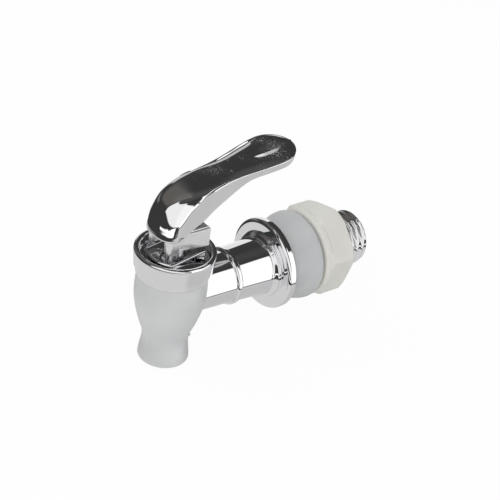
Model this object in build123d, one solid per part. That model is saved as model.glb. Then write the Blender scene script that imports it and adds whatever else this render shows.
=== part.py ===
from build123d import *
import os
from math import cos, radians

os.makedirs("parts", exist_ok=True)

# A lever-operated spigot for a drinks dispenser. Millimetres.
# Origin: centre of the flange's rear face. +Y runs along the shank into the tank, +Z is up.
# The valve's own axis is vertical and stands in front of the flange.

# Shank
thread_r = 8.0
thread_depth = 0.7
thread_pitch = 2.0
thread_crest = 0.7
thread_flank = 0.45
tail_length = 31.1
shank_bore_r = 5.0
tail_flat_depth = 0.4
tail_flat_angle = 43.0
tail_chamfer = 0.9
flange_r = 1.644 * thread_r
flange_thickness = 2.6
flange_rounding = 1.0
collar_r = 9.5
collar_length = 0.9
tube_rear_r = 8.35
tube_front_r = 7.2
bead_r = 8.3
bead_width = 1.8
bead_from_flange = 15.7

# Valve axis and bell
valve_offset = 33.7
mouth_z = -20.8
waist_z = -13.8
belly_z = 1.5
shoulder_z = 7.0
mouth_r = 7.15
waist_r = 6.5
belly_r = 9.95
shoulder_r = 9.8
lip_wall = 1.2
spout_bore_r = 4.6
seat_bore_r = 4.0
seat_z = -7.0
seat_land = 1.6
chamber_r = 0.755 * shoulder_r
chamber_floor_z = -3.0
seam_gap = 0.12

# Side nipple of the body, inside the shank
nipple_r = 5.5
nipple_length = 6.4
port_r = 3.2
nipple_fit = 0.03
o_ring_groove = 1.25
o_ring_wire_r = 0.6

# Bonnet cap
hem_r = shoulder_r + 0.4
skirt_r = hem_r + 0.55
rim_r = skirt_r + 0.42
rim_z = 14.6
rim_width = 1.5
skirt_step_z = 8.8
dish_floor_z = 11.4
boss_r = 0.734 * rim_r
boss_z = 14.2
boss_flat = 0.646 * boss_r
boss_turn = 10.0
boss_rounding = 0.45
spigot_r = 0.816 * shoulder_r
spigot_wall = 0.184 * shoulder_r
spigot_length = 3.2
spigot_fit = 0.05
bonnet_plate = 2.0
gland_depth = 1.7
gland_fit = 0.02
gasket_margin = 0.35
gasket_size = 0.75

# Stem, seal plug and spring
stem_r = 0.2755 * shoulder_r
stem_fit = 0.05
head_half_width = 0.926 * stem_r
pivot_z = 19.0
flats_from_z = 14.9
stem_collar_r = 0.53 * shoulder_r
stem_collar_thickness = 1.2
stem_collar_z = -3.2
stem_neck_r = 0.6 * stem_r
stem_button_r = 0.9 * stem_r
stem_button_thickness = 0.9
plug_r = stem_collar_r
plug_rounding = 0.6
spring_wire_r = 0.4
spring_r = 0.439 * shoulder_r
spring_turns = 6
spring_seat_gap = 0.05
thrust_washer_r = 0.571 * shoulder_r
thrust_washer_thickness = 0.5

# Lever, measured from the valve axis
lip_z = 20.8
hood_half_width = 6.0
hood_front_y = -8.2
hood_top_z = 33.4
tip_z = 39.6
neck_half_width = 5.4
neck_y = 10.0
paddle_half_width = 7.25
paddle_centre_y = 27.4
paddle_thickness = 2.3
lever_wall = 1.6
skirt_y = 5.0
skirt_z = 24.8
skirt_low_z = 23.8
slot_front_y = -5.6
slot_rear_y = 2.2
slot_top_z = 23.2
cheek_half_width = 4.9
cheek_rounding = 1.7
cheek_clearance = 0.1
foot_r = 2.45
foot_y = -3.75
foot_z = 18.35
heel_y = 7.1
heel_bottom_z = 16.1
heel_slope = 0.9
heel_top_z = 22.2
heel_bevel = 1.0
heel_slot_y = 4.9
cheek_back_y = -0.6
pin_r = 1.0
pin_fit = 0.05
pin_half_length = 3.9
pin_end_gap = 0.15

# Washer and nut
washer_thickness = 10.5
washer_r = flange_r - 0.25
washer_front_r = washer_r - 2.6
washer_rear_rounding = 0.8
washer_bore_fit = 0.2
nut_gap = 0.9
nut_collar_r = washer_r - 0.2
nut_collar_length = 2.4
nut_collar_bevel = 0.9
nut_length = 10.2
nut_across_flats = 2 * (washer_r - 0.9)
nut_turn = -14.0
nut_chamfer = 1.1
nut_fit = 0.05

# Worked-out places
valve_y = -valve_offset
valve_axis = Axis((0, valve_y, 0), (0, 0, 1))
shank_axis = Axis((0, 0, 0), (0, 1, 0))
bore_top_z = shoulder_z - spigot_length - 0.2
bonnet_under_z = dish_floor_z - bonnet_plate
spigot_bore_r = spigot_r - spigot_wall
spring_top_z = bonnet_under_z - thrust_washer_thickness
nipple_end_y = valve_y + shoulder_r + nipple_length
stem_seal_wire_r = gland_depth / 2 - gland_fit
stem_seal_r = stem_r + stem_fit / 2 + stem_seal_wire_r
gland_r = stem_seal_r + stem_seal_wire_r + gland_fit
gasket_inner_r = spigot_r + spigot_fit + gasket_margin
gasket_outer_r = gasket_inner_r + gasket_size
lever_reach = paddle_centre_y + paddle_half_width
hood_depth = -hood_front_y
hood_height = hood_top_z - lip_z
engaged_r = thread_r - thread_depth / 2
nut_start_y = washer_thickness + nut_gap
nut_end_y = nut_start_y + nut_length
thread_start_y = nut_end_y + 0.1


def turned_z(*edges):
    """Solid of revolution about the valve axis from edges in the plane of the two axes."""
    return revolve(make_face(list(edges)), axis=valve_axis)


def rz(r, z):
    """Point at radius r and height z beside the valve axis."""
    return (r, valve_y, z)


def ring_z(inner_r, outer_r, low_z, high_z):
    """Plain ring or disc about the valve axis."""
    height = high_z - low_z
    base = Pos(0, valve_y, low_z)
    low = (Align.CENTER, Align.CENTER, Align.MIN)
    disc = base * Cylinder(outer_r, height, align=low)
    if inner_r > 0:
        disc -= base * Cylinder(inner_r, height, align=low)
    return disc


def profile_z(points, radii=None):
    """Solid turned about the valve axis from (r, z) corners with a rounding at each."""
    corners = [rz(r, z) for r, z in points]
    if radii is None:
        outline = Polyline(*corners, close=True)
    else:
        outline = FilletPolyline(*corners, radius=radii, close=True)
    return turned_z(*outline.edges())


def profile_y(points, radii=None):
    """Solid turned about the shank axis from (r, y) corners with a rounding at each."""
    corners = [(r, y, 0) for r, y in points]
    if radii is None:
        outline = Polyline(*corners, close=True)
    else:
        outline = FilletPolyline(*corners, radius=radii, close=True)
    return revolve(make_face(outline.edges()), axis=shank_axis)


def rod_y(r, start_y, end_y):
    """Round bar along the shank axis."""
    length = end_y - start_y
    plane = Plane(origin=(0, start_y, 0), x_dir=(1, 0, 0), z_dir=(0, 1, 0))
    return extrude(plane * Circle(r), length)


def bell_solid(offset=0.0):
    """The outside of the bell and spout, grown by an offset."""
    belly = Spline(
        rz(mouth_r + offset, mouth_z + 0.5),
        rz(waist_r + offset, waist_z),
        rz((waist_r + belly_r) / 2 + 0.15 + offset, (waist_z + belly_z) / 2 - 1.2),
        rz(belly_r + offset, belly_z),
        rz(shoulder_r + offset, shoulder_z),
        tangents=((-0.06, 0, 1), (-0.02, 0, 1)),
    )
    low = mouth_z
    return turned_z(
        Line(rz(0, low), rz(mouth_r - 0.5 + offset, low)),
        Line(rz(mouth_r - 0.5 + offset, low), rz(mouth_r + offset, low + 0.5)),
        belly,
        Line(rz(shoulder_r + offset, shoulder_z), rz(0, shoulder_z)),
        Line(rz(0, shoulder_z), rz(0, low)),
    )


def nozzle_body():
    """Bell, spout, valve chamber, seat and side nipple in one moulding."""
    nipple_start = valve_y + chamber_r
    body = bell_solid() + rod_y(nipple_r, nipple_start, nipple_end_y)
    groove_y = valve_y + shoulder_r + nipple_length / 2
    groove = rod_y(nipple_r + 1, groove_y - o_ring_groove / 2, groove_y + o_ring_groove / 2)
    groove -= rod_y(nipple_r - o_ring_groove + 0.05, groove_y - 2, groove_y + 2)
    body -= groove
    spout_top = seat_z - seat_land
    cavity = profile_z([
        (0, mouth_z - 1),
        (mouth_r - lip_wall, mouth_z - 1),
        (mouth_r - lip_wall, mouth_z),
        (spout_bore_r, waist_z),
        (spout_bore_r, spout_top - 0.6),
        (seat_bore_r, spout_top),
        (seat_bore_r, seat_z),
        (plug_r + 0.4, seat_z),
        (chamber_r, chamber_floor_z),
        (chamber_r, bore_top_z),
        (spigot_r + spigot_fit, bore_top_z),
        (spigot_r + spigot_fit, shoulder_z + 1),
        (0, shoulder_z + 1),
    ])
    body -= cavity
    body -= rod_y(port_r, valve_y, nipple_end_y + 1)
    return body - bonnet_gasket()


def bonnet_gasket():
    """Square-section ring in a groove in the body's top face."""
    return ring_z(gasket_inner_r, gasket_outer_r, shoulder_z - gasket_size, shoulder_z)


def boss():
    """Raised boss in the dish, a disc with two wrench flats and rounded top edges."""
    plan = Circle(boss_r) & Rectangle(2 * boss_flat, 4 * boss_r)
    block = extrude(plan, boss_z - dish_floor_z + 0.5)
    block = fillet(block.faces().sort_by(Axis.Z)[-1].edges(), boss_rounding)
    return Pos(0, valve_y, dish_floor_z - 0.5) * Rot(0, 0, boss_turn) * block


def bonnet_cap():
    """Screw cap: rim, dished top with a boss, two-step skirt and threaded spigot."""
    dish_r = rim_r - rim_width
    bead = rim_width / 2 - 0.03
    shell = profile_z(
        [
            (0, bonnet_under_z),
            (spigot_bore_r, bonnet_under_z),
            (spigot_bore_r, shoulder_z - spigot_length),
            (spigot_r, shoulder_z - spigot_length),
            (spigot_r, shoulder_z),
            (hem_r, shoulder_z),
            (hem_r, skirt_step_z),
            (skirt_r, skirt_step_z + 0.35),
            (rim_r, rim_z - 1.2),
            (rim_r, rim_z),
            (dish_r, rim_z),
            (dish_r, dish_floor_z),
            (0, dish_floor_z),
        ],
        [0, 0.4, 0.3, 0.3, 0, 0.2, 0.15, 0.15, 0.3, bead, bead, 0.5, 0],
    )
    shell += boss()
    shell -= ring_z(0, stem_r + stem_fit, bonnet_under_z - 1, boss_z + 1)
    return shell - ring_z(0, gland_r, bonnet_under_z, bonnet_under_z + gland_depth)


def stem_o_ring():
    """Ring in the gland under the bonnet's plate, round the stem."""
    centre = Pos(0, valve_y, bonnet_under_z + gland_depth / 2)
    return centre * Torus(stem_seal_r, stem_seal_wire_r)


def thrust_washer():
    """Flat washer between the spring and the bonnet."""
    inner = stem_r + stem_fit
    outer = thrust_washer_r
    return ring_z(inner, outer, spring_top_z, bonnet_under_z)


def stem():
    """Round stem with a flat-sided head, a spring collar and a button for the plug."""
    top_r = stem_r
    collar_low = stem_collar_z - stem_collar_thickness
    button_low = seat_z + 0.9
    rod = ring_z(0, stem_r, stem_collar_z, pivot_z)
    head_cap = Pos(0, valve_y, pivot_z) * Rot(0, 90, 0) * Cylinder(top_r, 2 * head_half_width)
    flats = Pos(0, valve_y, flats_from_z) * Box(
        2 * head_half_width, 4 * stem_r, pivot_z, align=(Align.CENTER, Align.CENTER, Align.MIN)
    )
    round_part = ring_z(0, stem_r, stem_collar_z, flats_from_z)
    body = round_part + (rod & flats) + (head_cap & (flats + round_part))
    body += ring_z(0, stem_collar_r, collar_low, stem_collar_z)
    body += ring_z(0, stem_neck_r, button_low, collar_low)
    body += ring_z(0, stem_button_r, button_low, button_low + stem_button_thickness)
    return body - Pos(0, valve_y, pivot_z) * Rot(0, 90, 0) * Cylinder(pin_r, 4 * head_half_width)


def pivot_pin():
    """Cross pin pressed in the stem's head."""
    return Pos(0, valve_y, pivot_z) * Rot(0, 90, 0) * Cylinder(pin_r, 2 * pin_half_length)


def seat_plug():
    """Silicone plug moulded over the stem's button, flat on the seat."""
    top = stem_collar_z - stem_collar_thickness
    button_low = seat_z + 0.9
    plug = profile_z(
        [(0, seat_z), (plug_r, seat_z), (plug_r - 0.3, top), (0, top)],
        [0, plug_rounding, plug_rounding, 0],
    )
    plug -= ring_z(0, stem_neck_r, button_low, top + 1)
    return plug - ring_z(0, stem_button_r, button_low, button_low + stem_button_thickness)


def return_spring():
    """Coil spring from the stem's collar up to the thrust washer."""
    low = stem_collar_z + spring_wire_r + spring_seat_gap
    high = spring_top_z - spring_wire_r - spring_seat_gap
    height = high - low
    path = Helix(pitch=height / spring_turns, height=height, radius=spring_r)
    section = Plane(origin=path @ 0, z_dir=path % 0) * Circle(spring_wire_r)
    coil = sweep(section, path=path)
    return Pos(0, valve_y, low) * coil


def round_front_plan(half, side_y, front_y, z):
    """Plan of the hood at one height: round front from side to side, straight sides behind."""
    back = valve_y + 2 * lever_reach
    start = valve_y + side_y
    front = EllipticalCenterArc(
        center=(0, start, z),
        x_radius=half,
        y_radius=side_y - front_y,
        start_angle=180,
        arc_size=180,
    )
    return make_face([
        front,
        Line((half, start, z), (half, back, z)),
        Line((half, back, z), (-half, back, z)),
        Line((-half, back, z), (-half, start, z)),
    ])


# Hood, lip to top: share of its height, of its half-width, and of its depth for the place where
# the round front starts and for the foremost point.
hood_shares = [
    (0.0, 0.933, -0.451, -0.902),
    (0.254, 0.967, -0.366, -0.988),
    (0.532, 1.0, -0.256, -1.0),
    (0.730, 1.0, -0.073, -0.896),
    (0.833, 1.0, 0.110, -0.732),
    (0.929, 1.0, 0.280, -0.402),
    (1.0, 1.0, 0.463, 0.122),
]

# Top line of the arm: share of the reach, and of the rise from the hood's top to the tip.
arm_top_shares = [(0.173, 0.097), (0.289, 0.25), (0.519, 0.532), (0.750, 0.782), (1.0, 1.0)]

# Lower line of the arm, tip to skirt: share of the reach, and of the drop from the tip to the skirt.
arm_low_shares = [(0.750, 0.253), (0.577, 0.328), (0.404, 0.527), (0.231, 0.777)]

# Roof of the hollow under the hood: share of the hood's depth and of its height.
hollow_shares = [(-0.695, 0.103), (-0.756, 0.373), (-0.634, 0.587), (-0.293, 0.746), (0.244, 0.849)]


def hood_levels():
    """Height, half-width, start of the round front and its foremost point, lip to top."""
    return [
        (lip_z + z * hood_height, w * hood_half_width, side_y * hood_depth, front_y * hood_depth)
        for z, w, side_y, front_y in hood_shares
    ]


def side(points, half_width):
    """Extrusion across the lever of a closed side outline of (y, z) corners."""
    corners = [(0, valve_y + y, z) for y, z in points]
    return side_edges(Polyline(*corners, close=True).edges(), half_width)


def side_edges(edges, half_width):
    return extrude(make_face(edges), half_width, dir=(1, 0, 0), both=True)


def yz(y, z):
    """Point in the lever's middle plane, y measured from the valve axis."""
    return (0, valve_y + y, z)


def arm_top():
    """The lever's top line from the hood over the neck to the paddle's end."""
    rise = tip_z - hood_top_z
    start = (hood_shares[-1][3] * hood_depth, hood_top_z)
    return [start] + [(y * lever_reach, hood_top_z + z * rise) for y, z in arm_top_shares]


def arm_blank():
    """Hood and arm before hollowing: side outline, plan outline and the sides' draft."""
    top = Spline(*[yz(y, z) for y, z in arm_top()])
    end_y, end_z = arm_top()[-1]
    under_end = yz(end_y, end_z - paddle_thickness)
    drop = tip_z - skirt_z
    low_points = [yz(y * lever_reach, tip_z - z * drop) for y, z in arm_low_shares]
    under = Spline(under_end, *low_points, yz(skirt_y, skirt_z))
    step = yz(skirt_y - 1.2 * (skirt_z - skirt_low_z), (skirt_z + 1.5 * skirt_low_z) / 2.5)
    front_y = 1.1 * hood_front_y
    outline = [
        top,
        Line(yz(end_y, end_z), under_end),
        under,
        Line(yz(skirt_y, skirt_z), step),
        Line(step, yz(cheek_back_y, skirt_low_z)),
        Line(yz(cheek_back_y, skirt_low_z), yz(cheek_back_y, lip_z)),
        Line(yz(cheek_back_y, lip_z), yz(front_y, lip_z)),
        Line(yz(front_y, lip_z), yz(front_y, hood_top_z)),
        Line(yz(front_y, hood_top_z), yz(*arm_top()[0])),
    ]
    blank = side_edges(outline, 2 * paddle_half_width)
    return blank & plan_solid() & draft_solid()


def plan_solid():
    """The lever seen from above: round hood, narrow neck, round paddle."""
    w = paddle_half_width
    neck = neck_half_width
    hood = hood_half_width
    end = lever_reach

    def xy(x, y):
        return (x, valve_y + y, 0)

    def flank(s):
        return Spline(
            xy(s * hood, 0),
            xy(s * neck, neck_y),
            xy(s * (neck + w) / 2, 0.48 * (neck_y + paddle_centre_y)),
            xy(s * w, paddle_centre_y),
            tangents=((0, 1, 0), (0, 1, 0)),
        )

    front = 1.1 * hood_front_y
    outline = [
        Line(xy(-hood, front), xy(hood, front)),
        Line(xy(hood, front), xy(hood, 0)),
        flank(1),
        ThreePointArc(xy(w, paddle_centre_y), xy(0, end), xy(-w, paddle_centre_y)),
        flank(-1),
        Line(xy(-hood, 0), xy(-hood, front)),
    ]
    return extrude(make_face(outline), 2 * tip_z)


def draft_solid():
    """The hood's round nose, its sides leaning in towards the lip, open above for the arm."""
    levels = hood_levels()
    sections = [round_front_plan(w, side_y, front_y, z) for z, w, side_y, front_y in levels]
    nose = loft(sections)
    over = extrude(sections[-1], hood_top_z / 2)
    wide = 2 * paddle_half_width
    reach = 2 * paddle_centre_y
    arm_room = Pos(0, valve_y + 0.8 * neck_y + reach / 2, hood_top_z) * Box(wide, reach, 2 * reach)
    return nose + over + arm_room


def arm_channel():
    """The hollow under the hood and arm, open below."""
    t = lever_wall
    hood_roof = [yz(y * hood_depth, lip_z + z * hood_height) for y, z in hollow_shares]
    arm_roof = [yz(y, z - t) for y, z in arm_top()[2:4]]
    end_y, end_z = arm_top()[3]
    corner_a = yz(end_y, skirt_z)
    corner_b = yz(slot_rear_y, lip_z + hollow_shares[0][1] * hood_height)
    outline = [
        Spline(*hood_roof, *arm_roof),
        Line(arm_roof[-1], corner_a),
        Line(corner_a, corner_b),
        Line(corner_b, hood_roof[0]),
    ]
    sections = [
        round_front_plan(w - t, side_y, front_y + t, z) for z, w, side_y, front_y in hood_levels()[:4]
    ]
    plan = loft(sections)
    plan += extrude(sections[-1], hood_height)
    arm = side_edges(outline, hood_half_width)
    middle = Pos(0, valve_y, lip_z)
    wide = arm & plan & (middle * Box(4 * hood_half_width, 1.6 * neck_y, 4 * hood_height))
    narrow_room = Box(2 * (neck_half_width - t), 2.6 * neck_y, 4 * hood_height)
    narrow = arm & (middle * Pos(0, neck_y, 0) * narrow_room)
    return wide + narrow


def cheeks():
    """Two cheeks under the hood with round cam feet, a slot between them."""
    foot = Pos(0, valve_y + foot_y, foot_z) * Rot(0, 90, 0) * Cylinder(foot_r, 3 * cheek_half_width)
    join_z = (lip_z + heel_top_z + 0.2) / 2 + 0.2
    rear_z = heel_bottom_z + heel_slope
    upper = side(
        [
            (foot_y - foot_r, foot_z),
            (foot_y - foot_r, join_z),
            (cheek_back_y, join_z),
            (cheek_back_y, rear_z),
            (foot_y + foot_r * 0.8, rear_z),
            (foot_y, foot_z - foot_r * 0.4),
        ],
        2 * cheek_half_width,
    )
    room_y = heel_y - foot_y + foot_r
    room = Pos(0, valve_y + foot_y - foot_r + room_y / 2, join_z) * Box(
        2 * cheek_half_width, room_y, 4 * foot_r
    )
    front_edges = room.faces().sort_by(Axis.Y)[0].edges().filter_by(Axis.Z)
    return (foot + upper) & fillet(front_edges, cheek_rounding)


def heel():
    """Block behind the cheeks that bears on the boss when the lever is pressed."""
    start = 2 * cheek_back_y
    block = side(
        [
            (start, heel_bottom_z + heel_slope),
            (heel_y, heel_bottom_z),
            (heel_y, heel_top_z),
            (start, heel_top_z),
        ],
        cheek_half_width,
    )
    top_edges = block.faces().sort_by(Axis.Z)[-1].edges().filter_by(Axis.Y)
    block = chamfer(top_edges, heel_bevel)
    rear_edges = block.faces().sort_by(Axis.Y)[-1].edges().filter_by(Axis.Z)
    return fillet(rear_edges, 0.8)


def lever():
    """Hood, cheeks, heel block and arm as one casting, hollow below."""
    casting = (arm_blank() - arm_channel()) + cheeks() + heel()
    half = head_half_width + cheek_clearance
    slot_low = foot_z - 2 * foot_r
    front = 1.1 * hood_front_y
    slot = side(
        [
            (front, slot_low),
            (heel_slot_y, slot_low),
            (heel_slot_y, 1.03 * heel_top_z),
            (slot_rear_y, slot_top_z),
            (slot_front_y, slot_top_z),
            (slot_front_y, lip_z),
            (front, lip_z),
        ],
        half,
    )
    hole_half = pin_half_length + pin_end_gap
    hole = Pos(0, valve_y, pivot_z) * Rot(0, 90, 0) * Cylinder(pin_r + pin_fit, 2 * hole_half)
    return casting - slot - hole


def thread_profile():
    """Crests and roots of the tail's thread beyond the nut, as plain rings."""
    end_y = tail_length - tail_chamfer
    root_r = thread_r - thread_depth
    y = thread_start_y
    points = [(thread_r, y)]
    while y + thread_pitch < end_y:
        points += [
            (thread_r, y + thread_crest),
            (root_r, y + thread_crest + thread_flank),
            (root_r, y + thread_pitch - thread_flank),
            (thread_r, y + thread_pitch),
        ]
        y += thread_pitch
    return points + [(thread_r, end_y)]


def shank():
    """Conical tube with a bead and a collar, flange and threaded tail, one turning."""
    front_y = valve_y + 2
    bead_y = -bead_from_flange
    slope = (tube_rear_r - tube_front_r) / (valve_offset - shoulder_r - flange_thickness)
    tube_start = valve_y + shoulder_r
    r_front = tube_front_r + slope * (front_y - tube_start)
    r_bead = tube_front_r + slope * (bead_y - tube_start)
    face_y = -flange_thickness
    collar_y = face_y - collar_length
    half = bead_width / 2
    thread = thread_profile()
    turning = profile_y(
        [
            (shank_bore_r, front_y),
            (r_front, front_y),
            (r_bead, bead_y - half),
            (bead_r, bead_y - half + 0.15),
            (bead_r, bead_y + half - 0.15),
            (r_bead + 0.1, bead_y + half),
            (tube_rear_r, collar_y - 0.8),
            (collar_r, collar_y),
            (collar_r, face_y),
            (flange_r, face_y),
            (flange_r, 0),
            (engaged_r, 0),
            (engaged_r, thread_start_y),
            *thread,
            (thread_r - tail_chamfer, tail_length),
            (shank_bore_r, tail_length),
        ],
        [0, 0, 0.1, 0.5, 0.5, 0.1, 0.6, 0.35, 0.2, flange_rounding, 0.4] + [0] * (len(thread) + 4),
    )
    socket = rod_y(nipple_r + nipple_fit, front_y - 1, nipple_end_y + 0.1)
    hem = ring_z(0, hem_r + seam_gap, shoulder_z - seam_gap, rim_z)
    turning = turning - socket - bell_solid(seam_gap) - hem
    return turning - tail_flats()


def tail_flats():
    """Two shallow flats along the thread, opposite each other."""
    keep = thread_r - tail_flat_depth
    cutter = Pos(keep + thread_r / 2, nut_start_y + tail_length / 2, 0) * Box(
        thread_r, tail_length, 2 * thread_r
    )
    return Rot(0, -tail_flat_angle, 0) * cutter + Rot(0, 180 - tail_flat_angle, 0) * cutter


def shank_o_ring():
    """Ring in the groove of the body's nipple."""
    y = valve_y + shoulder_r + nipple_length / 2
    ring_r = nipple_r + nipple_fit - 0.02 - o_ring_wire_r
    return Pos(0, y, 0) * Rot(90, 0, 0) * Torus(ring_r, o_ring_wire_r)


def tank_washer():
    """Thick soft washer, rounded towards the flange."""
    bore = thread_r + washer_bore_fit
    full_y = washer_thickness - 1.6
    rear_r = washer_r - washer_rear_rounding
    crown = Spline(
        (washer_front_r, 0, 0),
        (washer_front_r + 0.62 * (washer_r - washer_front_r), 0.45 * full_y, 0),
        (washer_r, full_y, 0),
        tangents=((0.5, 1, 0), (0, 1, 0)),
    )
    section = make_face([
        Line((bore, 0, 0), (washer_front_r, 0, 0)),
        crown,
        ThreePointArc(
            (washer_r, full_y, 0),
            (washer_r - 0.25 * washer_rear_rounding, full_y + 1.0, 0),
            (rear_r, washer_thickness, 0),
        ),
        Line((rear_r, washer_thickness, 0), (bore, washer_thickness, 0)),
        Line((bore, washer_thickness, 0), (bore, 0, 0)),
    ])
    return revolve(section, axis=shank_axis)


def hex_nut():
    """Plastic hex nut with a round collar towards the washer."""
    start = nut_start_y
    end = nut_end_y
    corner_r = nut_across_flats / 2 / cos(radians(30))
    hex_plane = Plane(origin=(0, start + 0.5, 0), x_dir=(1, 0, 0), z_dir=(0, 1, 0))
    prism = extrude(hex_plane * Rot(0, 0, nut_turn) * RegularPolygon(corner_r, 6), end - start - 0.5)
    limit = profile_y([
        (0, start),
        (nut_collar_r, start),
        (corner_r + 0.1, start + nut_collar_length + 0.6),
        (corner_r + 0.1, end - nut_chamfer),
        (corner_r + 0.1 - 1.2 * nut_chamfer, end),
        (0, end),
    ])
    collar = profile_y([
        (0, start),
        (nut_collar_r - nut_collar_bevel, start),
        (nut_collar_r, start + nut_collar_bevel),
        (nut_collar_r, start + nut_collar_length),
        (0, start + nut_collar_length),
    ])
    bore_r = engaged_r + nut_fit
    bore = profile_y([
        (0, start - 1),
        (bore_r + 0.8, start - 1),
        (bore_r + 0.8, start),
        (bore_r, start + 0.8),
        (bore_r, end - 0.8),
        (bore_r + 0.8, end),
        (bore_r + 0.8, end + 1),
        (0, end + 1),
    ])
    return (prism & limit) + collar - bore


parts = {
    "nozzle_body": nozzle_body,
    "bonnet_cap": bonnet_cap,
    "bonnet_gasket": bonnet_gasket,
    "stem_o_ring": stem_o_ring,
    "thrust_washer": thrust_washer,
    "return_spring": return_spring,
    "stem": stem,
    "pivot_pin": pivot_pin,
    "seat_plug": seat_plug,
    "lever": lever,
    "shank": shank,
    "shank_o_ring": shank_o_ring,
    "tank_washer": tank_washer,
    "hex_nut": hex_nut,
}

for name, make in parts.items():
    piece = make()
    piece.label = name
    export_step(piece, f"parts/{name}.step")
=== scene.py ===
import math
import bpy
import bmesh
import numpy as np
from mathutils import Matrix, Vector


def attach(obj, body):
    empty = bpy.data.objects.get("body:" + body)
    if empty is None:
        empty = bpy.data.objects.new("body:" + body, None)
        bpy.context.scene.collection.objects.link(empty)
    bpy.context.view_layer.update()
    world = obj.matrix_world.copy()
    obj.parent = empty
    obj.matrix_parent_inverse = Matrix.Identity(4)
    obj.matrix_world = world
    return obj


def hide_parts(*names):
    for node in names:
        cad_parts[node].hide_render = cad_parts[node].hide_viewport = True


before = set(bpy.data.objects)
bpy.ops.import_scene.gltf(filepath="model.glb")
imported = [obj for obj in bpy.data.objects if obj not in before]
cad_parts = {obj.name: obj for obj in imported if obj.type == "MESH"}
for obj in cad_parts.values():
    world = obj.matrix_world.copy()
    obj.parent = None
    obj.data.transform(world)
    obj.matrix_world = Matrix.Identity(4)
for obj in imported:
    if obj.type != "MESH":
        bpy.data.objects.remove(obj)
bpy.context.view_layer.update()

# Shapes are in millimetres and become metres when a mesh is made. Looks, floor and lamps are in metres.
# The valve's axis is upright at VALVE_Y, and the lever's own y is measured from it. The shank's axis is Y.
MM = 0.001
VALVE_Y = -33.7
# Points round each turned piece
TURNS = 192


# Curves and profiles

def natural_spline(rows, count):
    """Smooth curve through rows of numbers, sampled evenly along its length."""
    rows = np.array(rows, float)
    step = np.linalg.norm(np.diff(rows, axis=0), axis=1)
    place = np.concatenate([[0], np.cumsum(step)])
    n = len(rows)
    gap = np.diff(place)
    matrix = np.eye(n)
    right = np.zeros_like(rows)
    for i in range(1, n - 1):
        matrix[i, i - 1] = gap[i - 1]
        matrix[i, i] = 2 * (gap[i - 1] + gap[i])
        matrix[i, i + 1] = gap[i]
        slope_after = (rows[i + 1] - rows[i]) / gap[i]
        slope_before = (rows[i] - rows[i - 1]) / gap[i - 1]
        right[i] = 6 * (slope_after - slope_before)
    bend = np.linalg.solve(matrix, right)
    out = []
    for s in np.linspace(0, place[-1], count):
        i = min(max(int(np.searchsorted(place, s)) - 1, 0), n - 2)
        h = gap[i]
        a = place[i + 1] - s
        b = s - place[i]
        value = (bend[i] * a**3 + bend[i + 1] * b**3) / (6 * h)
        value = value + (rows[i] / h - bend[i] * h / 6) * a
        value = value + (rows[i + 1] / h - bend[i + 1] * h / 6) * b
        out.append(value)
    return np.array(out)


def rounded(corners, steps=8):
    """Closed outline from rows of radius, height and rounding, with an arc at each rounded corner."""
    points = [Vector((r, h)) for r, h, rounding in corners]
    out = []
    for i, (r, h, rounding) in enumerate(corners):
        corner = points[i]
        if rounding <= 0:
            out.append(tuple(corner))
            continue
        u = (points[i - 1] - corner).normalized()
        v = (points[(i + 1) % len(points)] - corner).normalized()
        half = u.angle(v) / 2
        reach = rounding / math.tan(half)
        centre = corner + (u + v).normalized() * (rounding / math.sin(half))
        start = corner + u * reach - centre
        end = corner + v * reach - centre
        turn = start.angle_signed(end)
        for k in range(steps + 1):
            c = math.cos(-turn * k / steps)
            s = math.sin(-turn * k / steps)
            out.append((centre.x + start.x * c - start.y * s, centre.y + start.x * s + start.y * c))
    return out


def held(profile, shortest=0.5, beside=0.08):
    """Profile with a point near each end of its longer straight stretches, so that flats look flat."""
    out = []
    for i, start in enumerate(profile):
        a = Vector(start)
        b = Vector(profile[(i + 1) % len(profile)])
        out.append(tuple(a))
        length = (b - a).length
        if length > shortest:
            out.append(tuple(a.lerp(b, beside / length)))
            out.append(tuple(b.lerp(a, beside / length)))
    return out


def smooth_step(low, high, x):
    t = np.clip((x - low) / (high - low), 0, 1)
    return t * t * (3 - 2 * t)


# Materials

def new_material(name, **sockets):
    """Principled material with constants on the shader's own sockets."""
    mat = bpy.data.materials.new(name)
    mat.use_nodes = True
    shader = mat.node_tree.nodes["Principled BSDF"]
    for key, value in sockets.items():
        shader.inputs[key.replace("_", " ")].default_value = value
    return mat, mat.node_tree, shader


def add_node(tree, kind, **settings):
    """Node with its own settings and its sockets' constants."""
    node = tree.nodes.new(kind)
    for key, value in settings.items():
        if hasattr(node, key):
            setattr(node, key, value)
        else:
            node.inputs[key.replace("_", " ")].default_value = value
    return node


def noise(tree, scale, detail, rough=0.5):
    """Noise over the object's own coordinates."""
    coords = add_node(tree, "ShaderNodeTexCoord")
    node = add_node(tree, "ShaderNodeTexNoise", Scale=scale, Detail=detail, Roughness=rough)
    tree.links.new(coords.outputs["Object"], node.inputs["Vector"])
    return node.outputs["Fac"]


def remap(tree, source, low, high, to_low, to_high):
    sockets = {"From_Min": low, "From_Max": high, "To_Min": to_low, "To_Max": to_high}
    node = add_node(tree, "ShaderNodeMapRange", **sockets)
    tree.links.new(source, node.inputs["Value"])
    return node.outputs["Result"]


def product(tree, a, b):
    node = add_node(tree, "ShaderNodeMath", operation="MULTIPLY")
    tree.links.new(a, node.inputs[0])
    tree.links.new(b, node.inputs[1])
    return node.outputs["Value"]


def roughen(tree, shader, source, low, high, smoothest, roughest):
    tree.links.new(remap(tree, source, low, high, smoothest, roughest), shader.inputs["Roughness"])


def bump(tree, shader, height, strength, distance):
    node = add_node(tree, "ShaderNodeBump", Strength=strength, Distance=distance)
    tree.links.new(height, node.inputs["Height"])
    tree.links.new(node.outputs["Normal"], shader.inputs["Normal"])


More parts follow.
